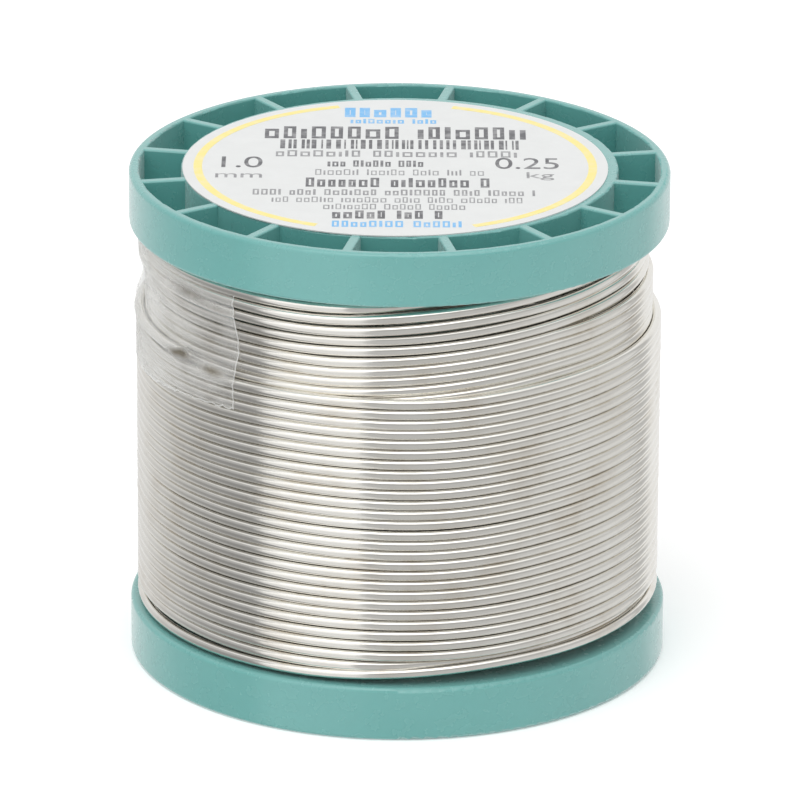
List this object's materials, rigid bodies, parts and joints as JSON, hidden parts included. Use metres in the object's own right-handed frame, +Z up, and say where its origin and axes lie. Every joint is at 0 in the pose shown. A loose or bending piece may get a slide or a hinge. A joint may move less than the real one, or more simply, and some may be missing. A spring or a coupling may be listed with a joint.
{
  "type": "solder wire spool",
  "caption": "Small ribbed plastic spool wound with flux-cored solder wire, with a round paper label on top and clear tape over the wire's loose end.",
  "frame": {"origin": "centre of the spool's bottom face, on the spindle axis", "axes": "+Z up along the spool's axis, -Y towards the front of the label, +X to its right"},
  "size_m": [0.054, 0.054, 0.0509],
  "materials": {
    "spool_plastic": "satin moulded polystyrene, grey teal",
    "label_paper": "smooth coated paper, printed",
    "solder_wire": "bright drawn tin alloy, faintly warm",
    "flux": "amber rosin",
    "tape_film": "clear film with a milky adhesive"
  },
  "bodies": {
    "root": {"upper_spool_half": "spool_plastic", "lower_spool_half": "spool_plastic", "top_label": "label_paper", "solder_winding": "solder_wire", "solder_wire_tail": "solder_wire", "tail_flux_core": "flux", "clear_tape": "tape_film"}
  },
  "joints": []
}
